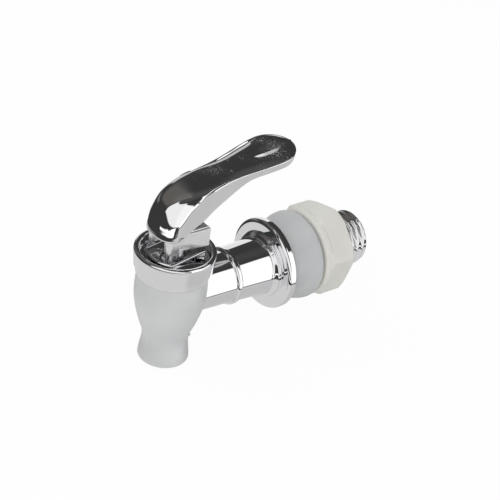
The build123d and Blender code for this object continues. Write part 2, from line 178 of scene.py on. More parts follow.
def tint(tree, shader, factor, dark, light):
    ramp = add_node(tree, "ShaderNodeValToRGB")
    ramp.color_ramp.elements[0].color = (*dark, 1)
    ramp.color_ramp.elements[1].color = (*light, 1)
    tree.links.new(factor, ramp.inputs["Fac"])
    tree.links.new(ramp.outputs["Color"], shader.inputs["Base Color"])


def scatter(shader, weight, radius):
    """Light that enters the material and leaves it nearby."""
    shader.inputs["Subsurface Weight"].default_value = weight
    shader.inputs["Subsurface Radius"].default_value = radius
    shader.inputs["Subsurface Scale"].default_value = 1.0


def chrome_material():
    mat, tree, shader = new_material("chrome_plate", Metallic=1.0)
    tint(tree, shader, noise(tree, 260.0, 2.0), (0.80, 0.80, 0.815), (0.86, 0.86, 0.87))
    roughen(tree, shader, noise(tree, 1700.0, 4.0, 0.6), 0.35, 0.75, 0.025, 0.07)
    bump(tree, shader, noise(tree, 90.0, 1.0), 0.05, 0.0006)
    return mat


def dust_on_top(tree, cloud):
    """Fine specks in loose patches on the lever's upper side, behind the hood."""
    specks = noise(tree, 2300.0, 2.0, 0.55)
    patches = remap(tree, product(tree, specks, cloud), 0.325, 0.375, 0.0, 1.0)
    coords = add_node(tree, "ShaderNodeTexCoord")
    place = add_node(tree, "ShaderNodeSeparateXYZ")
    tree.links.new(coords.outputs["Object"], place.inputs["Vector"])
    along = remap(tree, place.outputs["Y"], -0.029, -0.025, 0.0, 1.0)
    upward = remap(tree, place.outputs["Z"], 0.0335, 0.0345, 0.0, 1.0)
    return product(tree, patches, product(tree, along, upward))


def speckled_chrome_material():
    """Chrome of the lever's top with faint pitting and dust."""
    mat, tree, shader = new_material("chrome_lever")
    cloud = noise(tree, 130.0, 2.0)
    dust = dust_on_top(tree, cloud)
    roughen(tree, shader, dust, 0.0, 1.0, 0.035, 0.3)
    tree.links.new(remap(tree, dust, 0.0, 1.0, 1.0, 0.87), shader.inputs["Metallic"])
    tint(tree, shader, cloud, (0.79, 0.79, 0.80), (0.86, 0.86, 0.87))
    bump(tree, shader, noise(tree, 70.0, 1.0), 0.06, 0.0008)
    return mat


def cheek_chrome_material():
    """Less polished plating on the lever's cheeks and heel."""
    mat, tree, shader = new_material("chrome_cheek", Metallic=0.72)
    roughen(tree, shader, noise(tree, 1900.0, 4.0, 0.6), 0.3, 0.75, 0.12, 0.24)
    tint(tree, shader, noise(tree, 150.0, 2.0), (0.80, 0.80, 0.805), (0.87, 0.87, 0.87))
    return mat


def satin_material():
    """Silver paint with a fine grain."""
    mat, tree, shader = new_material("satin_silver", Metallic=0.35, Specular_IOR_Level=0.5)
    tint(tree, shader, noise(tree, 110.0, 3.0), (0.64, 0.645, 0.65), (0.73, 0.735, 0.74))
    grain = noise(tree, 5200.0, 2.0)
    roughen(tree, shader, grain, 0.3, 0.7, 0.4, 0.52)
    bump(tree, shader, grain, 0.25, 0.00004)
    return mat


def silicone_material():
    mat, tree, shader = new_material("silicone", Roughness=0.42, IOR=1.41)
    scatter(shader, 0.6, (0.004, 0.0045, 0.005))
    tint(tree, shader, noise(tree, 160.0, 3.0), (0.50, 0.51, 0.515), (0.58, 0.59, 0.595))
    bump(tree, shader, noise(tree, 2600.0, 2.0), 0.2, 0.00005)
    return mat


def ivory_material():
    mat, tree, shader = new_material("ivory_plastic", Roughness=0.38, IOR=1.48)
    scatter(shader, 0.25, (0.002, 0.0018, 0.0014))
    tint(tree, shader, noise(tree, 140.0, 3.0), (0.68, 0.675, 0.63), (0.76, 0.755, 0.71))
    bump(tree, shader, noise(tree, 2200.0, 3.0), 0.18, 0.00006)
    return mat


def steel_material():
    mat, tree, shader = new_material("steel", Metallic=1.0)
    grain = noise(tree, 1500.0, 3.0)
    roughen(tree, shader, grain, 0.3, 0.7, 0.18, 0.32)
    tint(tree, shader, grain, (0.56, 0.56, 0.57), (0.68, 0.68, 0.69))
    return mat


def rubber_material():
    mat, tree, shader = new_material("seal_rubber", Roughness=0.6)
    grain = noise(tree, 2400.0, 3.0)
    tint(tree, shader, grain, (0.02, 0.02, 0.02), (0.045, 0.045, 0.045))
    bump(tree, shader, grain, 0.2, 0.00005)
    return mat


CHROME = chrome_material()
LEVER_CHROME = speckled_chrome_material()
CHEEK_CHROME = cheek_chrome_material()
SATIN = satin_material()
SILICONE = silicone_material()
IVORY = ivory_material()
STEEL = steel_material()
RUBBER = rubber_material()


# Mesh building

def make_piece(name, verts, faces, material, body, replaces, sharp):
    mesh = bpy.data.meshes.new(name)
    mesh.from_pydata([tuple(c * MM for c in v) for v in verts], [], faces)
    finish_piece(name, mesh, material, body, replaces, sharp)


def finish_piece(name, mesh, material, body, replaces=None, sharp=38):
    """Smooth piece with edges kept sharp above an angle in degrees, tied to its body, with the CAD piece
    that it replaces hidden.
    """
    work = bmesh.new()
    work.from_mesh(mesh)
    bmesh.ops.remove_doubles(work, verts=work.verts, dist=1e-7)
    bmesh.ops.recalc_face_normals(work, faces=work.faces)
    work.to_mesh(mesh)
    work.free()
    mesh.validate()
    for face in mesh.polygons:
        face.use_smooth = True
    mesh.set_sharp_from_angle(angle=math.radians(sharp))
    mesh.materials.append(material)
    piece = bpy.data.objects.new(name, mesh)
    bpy.context.scene.collection.objects.link(piece)
    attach(piece, body)
    if replaces:
        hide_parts(replaces)


def loop_faces(loops, size, joined):
    """Quads between neighbouring loops of points, and from the last loop to the first if joined."""
    faces = []
    for i in range(loops if joined else loops - 1):
        for j in range(size):
            a = i * size + j
            b = i * size + (j + 1) % size
            c = ((i + 1) % loops) * size + (j + 1) % size
            d = ((i + 1) % loops) * size + j
            faces.append((a, b, c, d))
    return faces


def lathe(name, profile, axis, material, replaces, sharp, shape=None):
    """Piece turned about the valve's axis (z) or the shank's (y) from a closed profile.

    A shape function gives the true radius for a profile point and an angle, for what isn't round.
    """
    if shape is None:
        profile = held(profile)
    verts = []
    for r, h in profile:
        for k in range(TURNS):
            angle = 2 * math.pi * k / TURNS
            radius = shape(r, h, angle) if shape else r
            x = radius * math.cos(angle)
            other = radius * math.sin(angle)
            verts.append((x, VALVE_Y + other, h) if axis == "z" else (x, h, other))
    faces = loop_faces(len(profile), TURNS, True)
    make_piece(name, verts, faces, material, "valve", replaces, sharp)


# Nozzle: satin bell and spout, one moulding with a bored spout

def build_nozzle():
    outer = natural_spline(
        [
            (7.13, -20.3), (7.02, -19.0), (6.74, -17.0), (6.53, -15.2), (6.5, -13.8), (6.66, -12.2),
            (7.2, -10.6), (7.85, -8.9), (8.45, -7.0), (9.0, -5.0), (9.47, -3.0), (9.8, -1.0),
            (9.95, 1.2), (9.9, 3.5), (9.82, 5.5), (9.8, 7.0),
        ],
        90,
    )
    lip = [(6.55, -20.8), (6.8, -20.76), (7.0, -20.62), (7.1, -20.45)]
    chamber = [(8.05, 7.0), (8.05, 3.6), (7.4, 3.6), (7.4, -3.0), (5.6, -7.0), (4.0, -7.0), (4.0, -8.6)]
    bore = [(4.6, -9.2), (4.6, -13.8), (5.95, -20.55), (6.15, -20.75)]
    profile = lip + [tuple(p) for p in outer] + chamber + bore
    lathe("nozzle_bell", profile, "z", SATIN, "nozzle_body", 50)


def build_mould_nub():
    """Small round mark low on the spout's side."""
    angle = math.radians(47)
    reach = 6.6
    height = -13.0
    place = Vector((reach * math.cos(angle), VALVE_Y + reach * math.sin(angle), height)) * MM
    work = bmesh.new()
    bmesh.ops.create_icosphere(work, subdivisions=3, radius=0.42 * MM)
    bmesh.ops.translate(work, verts=work.verts, vec=place)
    mesh = bpy.data.meshes.new("mould_nub")
    work.to_mesh(mesh)
    work.free()
    finish_piece("mould_nub", mesh, SATIN, "valve")


# Bonnet cap: rim, dish and skirt, then a boss with two wrench flats

def build_cap_shell():
    corners = [
        # radius, height, rounding
        (2.75, 9.4, 0), (6.2, 9.4, 0.4), (6.2, 3.8, 0.3), (8.0, 3.8, 0.3), (8.0, 7.0, 0),
        (10.2, 7.0, 0.25), (10.2, 8.8, 0.15), (10.75, 9.15, 0.15), (11.165, 13.4, 0.4),
        (11.165, 14.6, 0.7), (9.67, 14.6, 0.7), (9.67, 11.4, 0.5), (2.75, 11.4, 0),
    ]
    lathe("cap_shell", rounded(corners), "z", CHROME, "bonnet_cap", 45)


BOSS_R = 8.2
BOSS_FLAT = 5.3
BOSS_TOP = 14.2
BOSS_FOOT = 11.0
BOSS_BORE = 2.74
BOSS_FILLET = 0.7
BOSS_TURN = math.radians(10)


def boss_radius(r, h, angle):
    """Circle cut by two wrench flats, or the round bore."""
    if r == BOSS_BORE:
        return r
    facing = abs(math.cos(angle - BOSS_TURN))
    return min(r, (BOSS_FLAT - BOSS_R + r) / max(facing, 1e-4))


def build_cap_boss():
    steps = 8
    profile = [(BOSS_R, BOSS_FOOT)]
    for k in range(steps + 1):
        t = math.pi / 2 * k / steps
        r = BOSS_R - BOSS_FILLET * (1 - math.cos(t))
        profile.append((r, BOSS_TOP - BOSS_FILLET * (1 - math.sin(t))))
    profile += [(BOSS_BORE, BOSS_TOP), (BOSS_BORE, BOSS_FOOT)]
    lathe("cap_boss", profile, "z", CHROME, "bonnet_cap", 30, boss_radius)


# Shank: conical tube with bead, collar and flange, then the threaded tail

THREAD_FROM = 20.6
TAIL_END = 31.1
TAIL_BORE = 5.0
CREST_R = 8.0
ROOT_R = 7.2
PITCH = 2.0
THREAD_FLAT = 7.6
THREAD_FLAT_ANGLES = (43.0, 223.0)


def build_shank():
    corners = [
        # radius, place along the shank, rounding
        (TAIL_BORE, -28.2, 0), (7.15, -28.2, 0), (7.56, -16.6, 0.25), (8.3, -16.45, 0.7),
        (8.3, -14.95, 0.7), (7.72, -14.8, 0.25), (8.35, -4.3, 0.8), (9.5, -3.5, 0.4), (9.5, -2.6, 0.3),
        (13.15, -2.6, 1.0), (13.15, 0.0, 0.4), (8.0, 0.0, 0), (8.0, 11.3, 0), (7.3, 11.9, 0),
        (7.3, THREAD_FROM, 0), (TAIL_BORE, THREAD_FROM, 0),
    ]
    lathe("shank_tube", rounded(corners), "y", CHROME, "shank", 50)


def thread_radius(r, h, angle):
    """Rounded helix with two flats along it and a chamfer at the tail's end."""
    if r == TAIL_BORE:
        return r
    phase = (h / PITCH + angle / (2 * math.pi)) % 1.0
    ridge = 0.5 - 0.5 * math.cos(2 * math.pi * phase)
    radius = ROOT_R + (CREST_R - ROOT_R) * ridge**0.8
    for facing in THREAD_FLAT_ANGLES:
        across = math.cos(angle - math.radians(facing))
        if across > 0.3:
            radius = min(radius, THREAD_FLAT / across)
    return min(radius, ROOT_R + TAIL_END - h)


def build_thread():
    start = THREAD_FROM - 0.2
    chamfer_from = TAIL_END - 0.9
    levels = [*np.arange(start, chamfer_from, PITCH / 16), *np.linspace(chamfer_from, TAIL_END, 7)]
    profile = [(CREST_R, float(h)) for h in levels] + [(TAIL_BORE, TAIL_END), (TAIL_BORE, start)]
    lathe("tail_thread", profile, "y", CHROME, "shank", 60, thread_radius)


# Soft washer and nut

def build_washer():
    bore_r = 8.25
    outer = natural_spline(
        [(10.3, 0.0), (10.75, 1.0), (11.3, 2.6), (11.9, 4.6), (12.5, 6.4), (12.85, 8.0), (12.9, 8.9)], 30
    )
    rear = [(12.86, 9.4), (12.7, 9.9), (12.45, 10.3), (12.1, 10.5), (bore_r, 10.5), (bore_r, 0.0)]
    profile = [tuple(p) for p in outer] + rear
    lathe("soft_washer", profile, "y", SILICONE, "tank_washer", 50)


NUT_START = 11.4
NUT_END = 21.6
NUT_BORE = 8.1
NUT_FLAT = 12.0
NUT_CORNER = NUT_FLAT / math.cos(math.radians(30))
NUT_TURN = math.radians(74)
NUT_COLLAR = 12.7
COLLAR_ROUNDING = 0.9
COLLAR_STRAIGHT = 2.3
COLLAR_SLOPE = 2.0
HEXAGON_START = NUT_START + 1.9
FRONT_CHAMFER_SLOPE = 1.6
REAR_CHAMFER_START = NUT_END - 1.1
REAR_CHAMFER_SLOPE = 1.1
REAR_ROUNDING = 0.35
SIDE_BLEND = 9.0
BORE_CHAMFER = 0.8
# Profile radii that stand for the outer surface, and for the same surface a little further in
NUT_SKIN = 1.0
NUT_SKIN_INSET = 0.7


def collar_radius(h):
    """Round collar at the nut's front, sloping into the hexagon behind it."""
    t = h - NUT_START
    if t < COLLAR_ROUNDING:
        rise = COLLAR_ROUNDING**2 - (COLLAR_ROUNDING - t) ** 2
        return NUT_COLLAR - COLLAR_ROUNDING + math.sqrt(max(rise, 0))
    return NUT_COLLAR - max(t - COLLAR_STRAIGHT, 0) * COLLAR_SLOPE


def hexagon_radius(h, angle):
    """Soft least value of the hexagon's side, its blunt corner and the chamfers at both ends."""
    half_side = math.radians(30)
    local = (angle - NUT_TURN + half_side) % (2 * half_side) - half_side
    sides = [
        NUT_FLAT / max(math.cos(abs(local) - half_side), 0.1),
        NUT_CORNER - 0.12,
        NUT_COLLAR + 0.1 + (h - HEXAGON_START) * FRONT_CHAMFER_SLOPE,
        NUT_CORNER - 0.2 - max(h - REAR_CHAMFER_START, 0) * REAR_CHAMFER_SLOPE,
    ]
    low = min(sides)
    return low - math.log(sum(math.exp(-SIDE_BLEND * (s - low)) for s in sides)) / SIDE_BLEND


def nut_radius(r, h, angle):
    if r > NUT_SKIN:
        return r
    hexagon = hexagon_radius(h, angle) if h > HEXAGON_START else 0
    radius = max(collar_radius(h), hexagon)
    from_rounding = h - NUT_END + REAR_ROUNDING
    if from_rounding > 0:
        radius -= REAR_ROUNDING - math.sqrt(max(REAR_ROUNDING**2 - from_rounding**2, 0))
    return radius if r == NUT_SKIN else radius - 0.02


def build_nut():
    front = (0.0, 0.12, 0.3, 0.55, 0.9, 1.3, 1.7, 2.1, 2.35, 2.5, 2.65, 2.8, 2.95, 3.1)
    rear = (1.2, 1.0, 0.8, 0.6, 0.45, 0.3, 0.18, 0.08, 0.0)
    heights = [NUT_START + t for t in front]
    heights += list(np.linspace(NUT_START + 3.3, NUT_END - 1.4, 10))
    heights += [NUT_END - t for t in rear]
    profile = [(NUT_SKIN, h) for h in heights] + [(NUT_SKIN_INSET, NUT_END)]
    mouth = NUT_BORE + BORE_CHAMFER
    profile += [(mouth, NUT_END), (NUT_BORE, NUT_END - BORE_CHAMFER)]
    profile += [(NUT_BORE, NUT_START + BORE_CHAMFER), (mouth, NUT_START)]
    lathe("ivory_nut", profile, "y", IVORY, "hex_nut", 40, nut_radius)


# Lever's skin: hood, channel arm and paddle, as loops of points across it at stations along it

STATIONS = [
    # half-width, rim y, rim z, crown y, crown z, lower edge x, y, z
    (5.74, -3.75, 20.8, -7.95, 20.8, 5.45, -3.2, 20.8),
    (5.78, -3.85, 20.85, -8.12, 20.87, 5.45, -3.0, 20.85),
    (5.8, -3.88, 21.0, -8.2, 21.0, 5.45, -2.9, 20.9),
    (5.8, -3.88, 21.4, -8.225, 21.4, 5.45, -2.75, 21.0),
    (5.8, -3.8, 22.0, -8.195, 22.0, 5.45, -2.5, 21.1),
    (5.8, -3.65, 22.6, -8.155, 22.65, 5.45, -2.1, 21.3),
    (5.805, -3.42, 23.2, -8.1, 23.25, 5.45, -1.7, 21.55),
    (5.82, -3.0, 24.3, -7.98, 24.4, 5.44, -1.1, 21.9),
    (5.87, -2.35, 25.9, -7.7, 26.1, 5.42, -0.3, 22.4),
    (5.95, -1.35, 28.2, -7.1, 28.4, 5.38, 0.9, 23.1),
    (6.0, -0.2, 30.0, -6.1, 30.3, 5.3, 1.9, 23.6),
    (6.0, 1.1, 31.3, -4.5, 31.6, 5.22, 3.0, 24.1),
    (6.0, 2.5, 32.4, -2.1, 32.75, 5.14, 4.1, 24.6),
    (5.95, 3.9, 33.15, 1.0, 33.6, 5.06, 5.2, 25.4),
    (5.65, 6.6, 33.95, 5.2, 34.3, 5.0, 7.2, 27.0),
    (5.35, 10.0, 34.9, 9.6, 35.1, 4.95, 10.1, 28.9),
    (5.42, 14.0, 35.85, 13.9, 35.95, 5.05, 14.0, 31.5),
    (5.95, 18.0, 36.68, 18.0, 36.75, 5.6, 18.0, 34.0),
    (6.65, 22.0, 37.45, 22.0, 37.5, 6.35, 22.0, 35.1),
    (7.12, 25.4, 38.1, 25.4, 38.15, 6.9, 25.4, 35.85),
]
BODY_COUNT = 280
PADDLE_COUNT = 32
PADDLE_R = 7.25
PADDLE_Y = 27.4
PADDLE_LOW_R = PADDLE_R - 0.25
PADDLE_DEPTH = 2.25
TOP_SLOPE = 0.162
WALL = 1.6
EDGE_FILLET = 0.55
EDGE_DROP = 0.5
HALF_STEPS = 24
EDGE_STEPS = 6
ROLL_DEPTH = 0.95
ROLL_FROM = 0.36
DIMPLE_X = -1.2
DIMPLE_Y = 27.0
DIMPLE_HALF_X = 4.5
DIMPLE_HALF_Y = 8.0
DIMPLE_DEPTH = 0.8
# Stretches of y over which one form gives way to the next, and one of z, for the hood's flatter crown
NOSE_END = (1.0, 6.0)
ROLL_START = (6.0, 17.0)
HOLLOW_END = (16.0, 22.0)
ROLL_FADE = (23.0, 31.0)
TIP = (26.0, PADDLE_Y + PADDLE_R)
FLAT_CROWN = (25.0, 30.0)


def lever_stations():
    """Stations from the hood's lower edge to the paddle's round tip."""
    body = natural_spline(STATIONS, BODY_COUNT)
    last_y = STATIONS[-1][1]
    last_z = STATIONS[-1][2]
    end = []
    for k in range(1, PADDLE_COUNT + 1):
        a = math.pi / 2 * k / PADDLE_COUNT
        y = PADDLE_Y + PADDLE_R * math.sin(a)
        z = last_z + (y - last_y) * TOP_SLOPE
        low_y = PADDLE_Y + PADDLE_LOW_R * math.sin(a)
        across = (PADDLE_R * math.cos(a), y, z, y, z + 0.03 * math.cos(a))
        end.append((*across, PADDLE_LOW_R * math.cos(a), low_y, z - PADDLE_DEPTH))
    return np.vstack([body, np.array(end)])


def rim_directions(rows):
    """Outward direction in plan at each station's rim."""
    out = np.zeros((len(rows), 2))
    for i in range(len(rows)):
        before = rows[max(i - 1, 0)]
        after = rows[min(i + 1, len(rows) - 1)]
        run_x = after[0] - before[0]
        run_y = after[1] - before[1]
        length = max(math.hypot(run_x, run_y), 1e-6)
        out[i] = (run_y / length, -run_x / length)
    out[-1] = (0.0, 1.0)
    return out


def dimple(x, y):
    """Thumb hollow in the paddle: depth below the plain surface."""
    u = (x - DIMPLE_X) / DIMPLE_HALF_X
    v = (y - DIMPLE_Y) / DIMPLE_HALF_Y
    d = min(math.hypot(u, v), 1.0)
    return DIMPLE_DEPTH * (0.5 + 0.5 * math.cos(math.pi * d))


def rolled_edge(x, half_w, y):
    """Drop of the top near the arm's long edges, none at the hood and little at the paddle's tip."""
    share = max(abs(x) / max(half_w, 0.1) - ROLL_FROM, 0) / (1 - ROLL_FROM)
    reach = float(smooth_step(*ROLL_START, y) * (1 - 0.75 * smooth_step(*ROLL_FADE, y)))
    return ROLL_DEPTH * reach * share * share


def top_half(row, direction, nose):
    """Top surface at one station, from its middle to its rim. The hood's front is fuller than an arc."""
    w, y, z, crown_y, crown_z = row[:5]
    inset = min(EDGE_FILLET, w * 0.9) * (1 - nose)
    half_w = max(w - inset * direction[0], 0.0)
    bend = 1 - 0.2 * nose
    turn = math.pi / 2 * (1 - 0.32 * float(smooth_step(*FLAT_CROWN, z)) * nose)
    points = []
    for k in range(HALF_STEPS + 1):
        t = turn * k / HALF_STEPS
        span = max((math.cos(t) - math.cos(turn)) / (1 - math.cos(turn)), 0.0) ** bend
        px = half_w * (math.sin(t) / math.sin(turn)) ** bend
        py = y - inset * direction[1] + (crown_y - y) * span
        pz = z + (crown_z - z) * span - rolled_edge(px, w, y) - dimple(px, py)
        points.append((px, py, pz))
    return points


def side_half(edge, corner, low):
    """Rounded rim from the top's edge over the corner, then the wall down to the lower edge."""
    below = corner + (low - corner).normalized() * EDGE_DROP
    points = []
    for k in range(1, EDGE_STEPS + 1):
        t = k / EDGE_STEPS
        points.append(tuple(edge * (1 - t) ** 2 + corner * (2 * t * (1 - t)) + below * t**2))
    for k in range(1, EDGE_STEPS + 1):
        points.append(tuple(below.lerp(low, k / EDGE_STEPS)))
    return points


def inside_half(row, direction, nose):
    """Underside at one station, from the lower edge to the middle: hollow hood and arm, flat paddle."""
    w, y, z, crown_y, crown_z, lx, ly, lz = row
    tip = smooth_step(*TIP, y)
    hollow = 1 - smooth_step(*HOLLOW_END, y)
    if lx > 2 * WALL:
        inside_w = lx - WALL * (1 - tip) * direction[0]
    else:
        inside_w = lx * (1 - tip * 0.5) * 0.5
    inside_w = max(inside_w, lx * 0.4)
    floor_z = lz + 0.05
    side_z = z - WALL * (1 - nose)
    roof_y = crown_y + WALL * nose
    roof_z = crown_z - WALL * (1 - nose) - 0.2 * nose
    points = [(inside_w, ly - 0.4 * tip * direction[1], floor_z)]
    for k in range(HALF_STEPS + 1):
        t = math.pi / 2 * (1 - k / HALF_STEPS)
        px = inside_w * 0.98 * math.sin(t)
        flat = Vector((px, ly, floor_z))
        roof = Vector((px, y + (roof_y - y) * math.cos(t), side_z + (roof_z - side_z) * math.cos(t)))
        points.append(tuple(flat.lerp(roof, hollow)))
    return points


def lever_loops():
    rows = lever_stations()
    directions = rim_directions(rows)
    loops = []
    for row, direction in zip(rows, directions):
        nose = 1 - smooth_step(*NOSE_END, row[1])
        if nose > 0:
            direction = (1.0, 0.0)
        top = top_half(row, direction, nose)
        corner = Vector(row[:3])
        edge = corner if nose > 0 else Vector(top[-1])
        right = top + side_half(edge, corner, Vector(row[5:])) + inside_half(row, direction, nose)
        left = [(-x, y, z) for x, y, z in reversed(right[1:-1])]
        loops.append(right + left)
    return loops


def build_lever():
    loops = lever_loops()
    size = len(loops[0])
    verts = [(x, VALVE_Y + y, z) for loop in loops for x, y, z in loop]
    faces = loop_faces(len(loops), size, False)
    half = size // 2
    faces.append((0, 1, size - 1))
    for j in range(1, half - 1):
        faces.append((j, j + 1, size - j - 1, size - j))
    faces.append((half - 1, half, half + 1))
    make_piece("lever_skin", verts, faces, LEVER_CHROME, "lever", "lever", 42)


# Lever's cheeks and heel

SLOT_HALF = 3.0
CHEEK_HALF = 4.9
CHEEK_FRONT = -6.2
CHEEK_REAR = 7.1
CHEEK_ROUNDING = 1.3
HEEL_FRONT = 4.9
HEEL_REAR = 7.08
HEEL_TOP = 21.6
HOOD_REAR = 0.1
HOOD_INSIDE = 24.0
FOOT_Y = -3.75
FOOT_HALF = 2.46
FOOT_TOP = 18.35
FOOT_DEPTH = 2.45
UNDERSIDE_Y = -0.6
UNDERSIDE_Z = 16.75
UNDERSIDE_FALL = 0.1
LOWER_ROUNDING = 0.35
RIDGE = 0.22


def foot_bottom(y):
    """Underside of a cheek: blunt cam foot in front, then a straight line to the heel."""
    line = UNDERSIDE_Z - (y - UNDERSIDE_Y) * UNDERSIDE_FALL
    across = min(abs(y - FOOT_Y) / FOOT_HALF, 1.0)
    foot = FOOT_TOP - FOOT_DEPTH * (1 - across**3) ** (1 / 3)
    return foot if y < FOOT_Y else min(foot, line)


def cheek_section(y, inner, outer, top):
    """Upright section of a cheek at one place along the arm: rounded lower edges, a ridge on top."""
    low = foot_bottom(y)
    edge = min(LOWER_ROUNDING, (outer - inner) * 0.45)
    arcs = []
    for centre, start in ((outer - edge, -90), (inner + edge, 180)):
        arc = []
        for k in range(7):
            t = math.radians(start + 15 * k)
            arc.append((centre + edge * math.cos(t), low + edge + edge * math.sin(t)))
        arcs.append(arc)
    middle = (inner + outer) / 2
    upper = [
        (outer, low + edge + 0.12), (outer, top - 0.2), (outer, top - 0.1), (outer - 0.1, top),
        (middle + 0.2, top), (middle + 0.15, top + RIDGE), (middle - 0.15, top + RIDGE),
        (middle - 0.2, top), (inner + 0.02, top), (inner, top - 0.02), (inner, low + edge + 0.12),
    ]
    return arcs[0] + upper + arcs[1]


def cheek_block(name, side, inner, outer, front, rear, rounding):
    """Block swept along the arm's length, its outer front corner rounded in plan."""
    places = [front]
    if rounding:
        places += [front + rounding * (1 - math.cos(math.radians(6 * k))) for k in range(1, 16)]
    places += [*np.arange(front + rounding + 0.15, rear - 0.1, 0.2), rear - 0.05, rear]
    loops = []
    for y in places:
        reach = max(front + rounding - y, 0)
        wide = outer - rounding + math.sqrt(max(rounding * rounding - reach * reach, 0))
        top = HEEL_TOP if y > HOOD_REAR else HOOD_INSIDE
        loops.append([(side * x, VALVE_Y + y, z) for x, z in cheek_section(y, inner, wide, top)])
    verts = [p for loop in loops for p in loop]
    size = len(loops[0])
    faces = loop_faces(len(loops), size, False)
    faces.append(tuple(range(size)))
    faces.append(tuple(len(verts) - size + i for i in range(size)))
    make_piece(name, verts, faces, CHEEK_CHROME, "lever", "lever", 32)


def build_cheeks():
    for name, side in (("near_cheek", 1), ("far_cheek", -1)):
        cheek_block(name, side, SLOT_HALF, CHEEK_HALF, CHEEK_FRONT, CHEEK_REAR, CHEEK_ROUNDING)
    heel_half = SLOT_HALF + 0.1
    cheek_block("heel_block", 1, -heel_half, heel_half, HEEL_FRONT, HEEL_REAR, 0.0)


# Inner pieces, shown as the solids themselves

HIDDEN = {
    "stem": STEEL, "pivot_pin": STEEL, "return_spring": STEEL, "thrust_washer": STEEL,
    "stem_o_ring": RUBBER, "bonnet_gasket": RUBBER, "shank_o_ring": RUBBER, "seat_plug": SILICONE,
}


def dress_hidden_pieces():
    for node, material in HIDDEN.items():
        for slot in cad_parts[node].material_slots:
            slot.material = material


# Stage: a white floor, a studio round it, lamps and the camera

FLOOR_Z = -0.0215
FLOOR_HALF = 6.0
FLOOR_GLOW = 0.95


def floor_material():
    """Plain white floor that keeps the shadow, and shows nearly pure white to the camera."""
    mat = bpy.data.materials.new("floor_white")
    mat.use_nodes = True
    tree = mat.node_tree
    shader = tree.nodes["Principled BSDF"]
    shader.inputs["Base Color"].default_value = (0.9, 0.9, 0.9, 1)
    shader.inputs["Roughness"].default_value = 0.9
    shader.inputs["Specular IOR Level"].default_value = 0.0
    glow = add_node(tree, "ShaderNodeEmission", Color=(1, 1, 1, 1), Strength=1.0)
    path = add_node(tree, "ShaderNodeLightPath")
    share = add_node(tree, "ShaderNodeMath", operation="MULTIPLY")
    share.inputs[1].default_value = FLOOR_GLOW
    mix = add_node(tree, "ShaderNodeMixShader")
    tree.links.new(path.outputs["Is Camera Ray"], share.inputs[0])
    tree.links.new(share.outputs["Value"], mix.inputs["Fac"])
    tree.links.new(shader.outputs["BSDF"], mix.inputs[1])
    tree.links.new(glow.outputs["Emission"], mix.inputs[2])
    tree.links.new(mix.outputs["Shader"], tree.nodes["Material Output"].inputs["Surface"])
    return mat


def build_floor():
    s = FLOOR_HALF
    corners = [(-s, -s, FLOOR_Z), (s, -s, FLOOR_Z), (s, s, FLOOR_Z), (-s, s, FLOOR_Z)]
    mesh = bpy.data.meshes.new("floor")
    mesh.from_pydata(corners, [], [(0, 1, 2, 3)])
    mesh.materials.append(floor_material())
    floor = bpy.data.objects.new("floor", mesh)
    bpy.context.scene.collection.objects.link(floor)
    floor.visible_glossy = False


# Soft boxes that the chrome mirrors, in degrees: azimuth from +X towards +Y, and height. The leans tilt
# a box's lower and upper edge, in degrees of height per degree of azimuth.
SOFT_BOXES = [
    # start, end, low, high, softness, low lean, high lean, strength
    (12, 47, -27, 50, 2.0, 0.0, 0.0, 1.25),
    (47, 70, -27, 30, 2.0, 0.0, 0.0, 1.0),
    (-98, -21, -3, 60, 2.0, -0.3, -0.3, 0.95),
    (-21, 16, -19, 12, 2.0, -0.3, -1.5, 1.05),
    (-112, -62, -20.6, -17.7, 0.8, 0.05, 0.05, 1.3),
    (-66, -6, -22.5, -18.6, 0.8, -0.06, -0.045, 1.3),
    (-180, -150, 0, 15, 4.0, 0.0, 0.0, 0.15),
    (150, 165, -29, 23, 2.0, 0.0, 0.0, 0.55),
    (134, 150, -29, 24, 2.0, 0.0, 0.0, 0.9),
    (-180, 180, 62, 95, 10.0, 0.0, 0.0, 0.035),
]
ROOM_LEVEL = 0.045
TABLE_LEVEL = 0.67
TABLE_FROM = math.radians(-31.0)
TABLE_TO = math.radians(-28.5)
# The table's darker side and the warm part of the ceiling: start, end, low, high, softness
TABLE_SHADE_PLACE = (10, 170, -95, -31, 12.0)
TABLE_SHADE = 0.12
WARM_PLACE = (160, 250, 30, 95, 8.0)
WARM_SHARES = (("Red", 0.085), ("Green", 0.077), ("Blue", 0.070))
DIFFUSE_LEVEL = (0.645, 0.645, 0.645, 1)


def world_math(tree, kind, a, b=None):
    """Math node whose inputs are numbers or other nodes' outputs."""
    node = add_node(tree, "ShaderNodeMath", operation=kind)
    for k, value in enumerate((a, b)):
        if isinstance(value, (int, float)):
            node.inputs[k].default_value = value
        elif value is not None:
            tree.links.new(value, node.inputs[k])
    return node.outputs["Value"]


def world_ramp(tree, value, low, high):
    node = add_node(tree, "ShaderNodeMapRange", interpolation_type="SMOOTHSTEP", From_Min=low, From_Max=high)
    tree.links.new(value, node.inputs["Value"])
    return node.outputs["Result"]


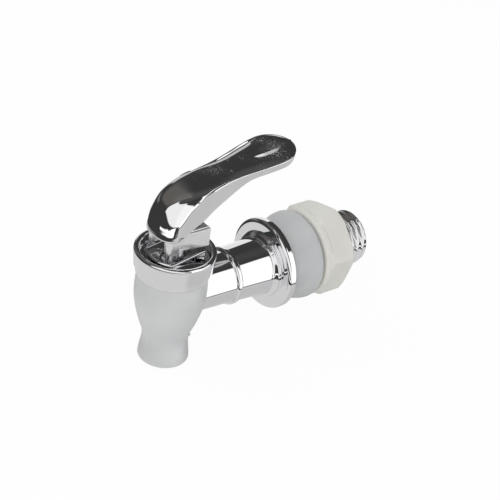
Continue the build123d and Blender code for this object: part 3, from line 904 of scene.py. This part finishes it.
def box_mask(tree, sight, start, end, low, high, soft, low_lean=0.0, high_lean=0.0):
    """Mask of one soft box, as seen along the direction of sight."""
    x, y, height = sight

    def times(a, b):
        return world_math(tree, "MULTIPLY", a, b)

    def edge(value, degrees):
        return world_ramp(tree, value, math.radians(degrees - soft), math.radians(degrees + soft))

    middle = math.radians((start + end) / 2)
    half = (end - start) / 2
    along = world_math(tree, "ADD", times(x, math.cos(middle)), times(y, math.sin(middle)))
    aside = world_math(tree, "ADD", times(x, -math.sin(middle)), times(y, math.cos(middle)))
    turn = world_math(tree, "ARCTAN2", aside, along)
    inside = world_math(tree, "SUBTRACT", 1.0, edge(world_math(tree, "ABSOLUTE", turn), half))
    lower = edge(world_math(tree, "SUBTRACT", height, times(turn, low_lean)), low)
    over = edge(world_math(tree, "SUBTRACT", height, times(turn, high_lean)), high)
    return times(inside, times(lower, world_math(tree, "SUBTRACT", 1.0, over)))


def studio_colour(tree):
    """What the chrome mirrors: dark room, light table, soft boxes and a warm ceiling."""
    coords = add_node(tree, "ShaderNodeTexCoord")
    split = add_node(tree, "ShaderNodeSeparateXYZ")
    tree.links.new(coords.outputs["Generated"], split.inputs["Vector"])
    height = world_math(tree, "ARCSINE", split.outputs["Z"])
    sight = (split.outputs["X"], split.outputs["Y"], height)
    total = ROOM_LEVEL
    for *place, strength in SOFT_BOXES:
        light = world_math(tree, "MULTIPLY", box_mask(tree, sight, *place), strength)
        total = world_math(tree, "ADD", light, total)
    table = world_math(tree, "SUBTRACT", 1.0, world_ramp(tree, height, TABLE_FROM, TABLE_TO))
    total = world_math(tree, "ADD", total, world_math(tree, "MULTIPLY", table, TABLE_LEVEL))
    shade = box_mask(tree, sight, *TABLE_SHADE_PLACE)
    total = world_math(tree, "SUBTRACT", total, world_math(tree, "MULTIPLY", shade, TABLE_SHADE))
    warm = box_mask(tree, sight, *WARM_PLACE)
    joined = add_node(tree, "ShaderNodeCombineColor")
    for key, share in WARM_SHARES:
        part = world_math(tree, "ADD", world_math(tree, "MULTIPLY", warm, share), total)
        tree.links.new(part, joined.inputs[key])
    return joined.outputs["Color"]


def build_world():
    """White for the camera, soft grey for diffuse light, the studio for gloss."""
    world = bpy.data.worlds.new("studio")
    bpy.context.scene.world = world
    world.use_nodes = True
    tree = world.node_tree
    tree.nodes.clear()
    gloss = add_node(tree, "ShaderNodeBackground")
    tree.links.new(studio_colour(tree), gloss.inputs["Color"])
    soft = add_node(tree, "ShaderNodeBackground", Color=DIFFUSE_LEVEL)
    white = add_node(tree, "ShaderNodeBackground", Color=(1, 1, 1, 1))
    path = add_node(tree, "ShaderNodeLightPath")
    shader = gloss
    for ray, background in (("Is Diffuse Ray", soft), ("Is Camera Ray", white)):
        mix = add_node(tree, "ShaderNodeMixShader")
        tree.links.new(path.outputs[ray], mix.inputs["Fac"])
        tree.links.new(shader.outputs[0], mix.inputs[1])
        tree.links.new(background.outputs[0], mix.inputs[2])
        shader = mix
    out = add_node(tree, "ShaderNodeOutputWorld")
    tree.links.new(shader.outputs[0], out.inputs["Surface"])


def add_light(name, place, target, size, power):
    """Square lamp, in metres, that neither the camera nor the chrome sees."""
    data = bpy.data.lights.new(name, "AREA")
    data.shape = "RECTANGLE"
    data.size = size
    data.size_y = size
    data.energy = power
    light = bpy.data.objects.new(name, data)
    bpy.context.scene.collection.objects.link(light)
    light.location = place
    aim = Vector(target) - Vector(place)
    light.rotation_euler = aim.to_track_quat("-Z", "Y").to_euler()
    light.visible_glossy = False
    light.visible_camera = False


def build_lights():
    target = (0, -0.02, 0)
    add_light("key", (0.35, -0.55, 0.6), target, 0.5, 2.2)
    add_light("fill", (-0.5, -0.3, 0.5), target, 0.5, 0.8)


# The photo's camera: angles in degrees, focal length and picture width in pixels
CAMERA_AZIMUTH = 47.937
CAMERA_ELEVATION = 32.999
CAMERA_ROLL = 9.074
FOCAL_PIXELS = 1407.98
PICTURE_PIXELS = 500
SENSOR_WIDTH = 36.0
CAMERA_DISTANCE = 400.0
TARGET_RIGHT = -5.473
TARGET_UP = 2.406


def build_camera():
    azimuth = math.radians(CAMERA_AZIMUTH)
    elevation = math.radians(CAMERA_ELEVATION)
    roll = math.radians(CAMERA_ROLL)
    forward = Vector((
        -math.sin(azimuth) * math.cos(elevation),
        math.cos(azimuth) * math.cos(elevation),
        -math.sin(elevation),
    ))
    level = Vector((math.cos(azimuth), math.sin(azimuth), 0))
    upright = level.cross(forward)
    right = level * math.cos(roll) + upright * math.sin(roll)
    up = upright * math.cos(roll) - level * math.sin(roll)
    target = level * TARGET_RIGHT + upright * TARGET_UP
    data = bpy.data.cameras.new("camera")
    data.sensor_width = SENSOR_WIDTH
    data.lens = FOCAL_PIXELS / PICTURE_PIXELS * SENSOR_WIDTH
    data.clip_start = 0.01
    data.clip_end = 50.0
    camera = bpy.data.objects.new("camera", data)
    bpy.context.scene.collection.objects.link(camera)
    turn = Matrix((right, up, -forward)).transposed()
    place = (target - forward * CAMERA_DISTANCE) * MM
    camera.matrix_world = Matrix.Translation(place) @ turn.to_4x4()
    bpy.context.scene.camera = camera


build_nozzle()
build_mould_nub()
build_cap_shell()
build_cap_boss()
build_shank()
build_thread()
build_washer()
build_nut()
build_lever()
build_cheeks()
dress_hidden_pieces()
build_floor()
build_world()
build_camera()
build_lights()
bpy.context.scene.view_settings.view_transform = "Standard"
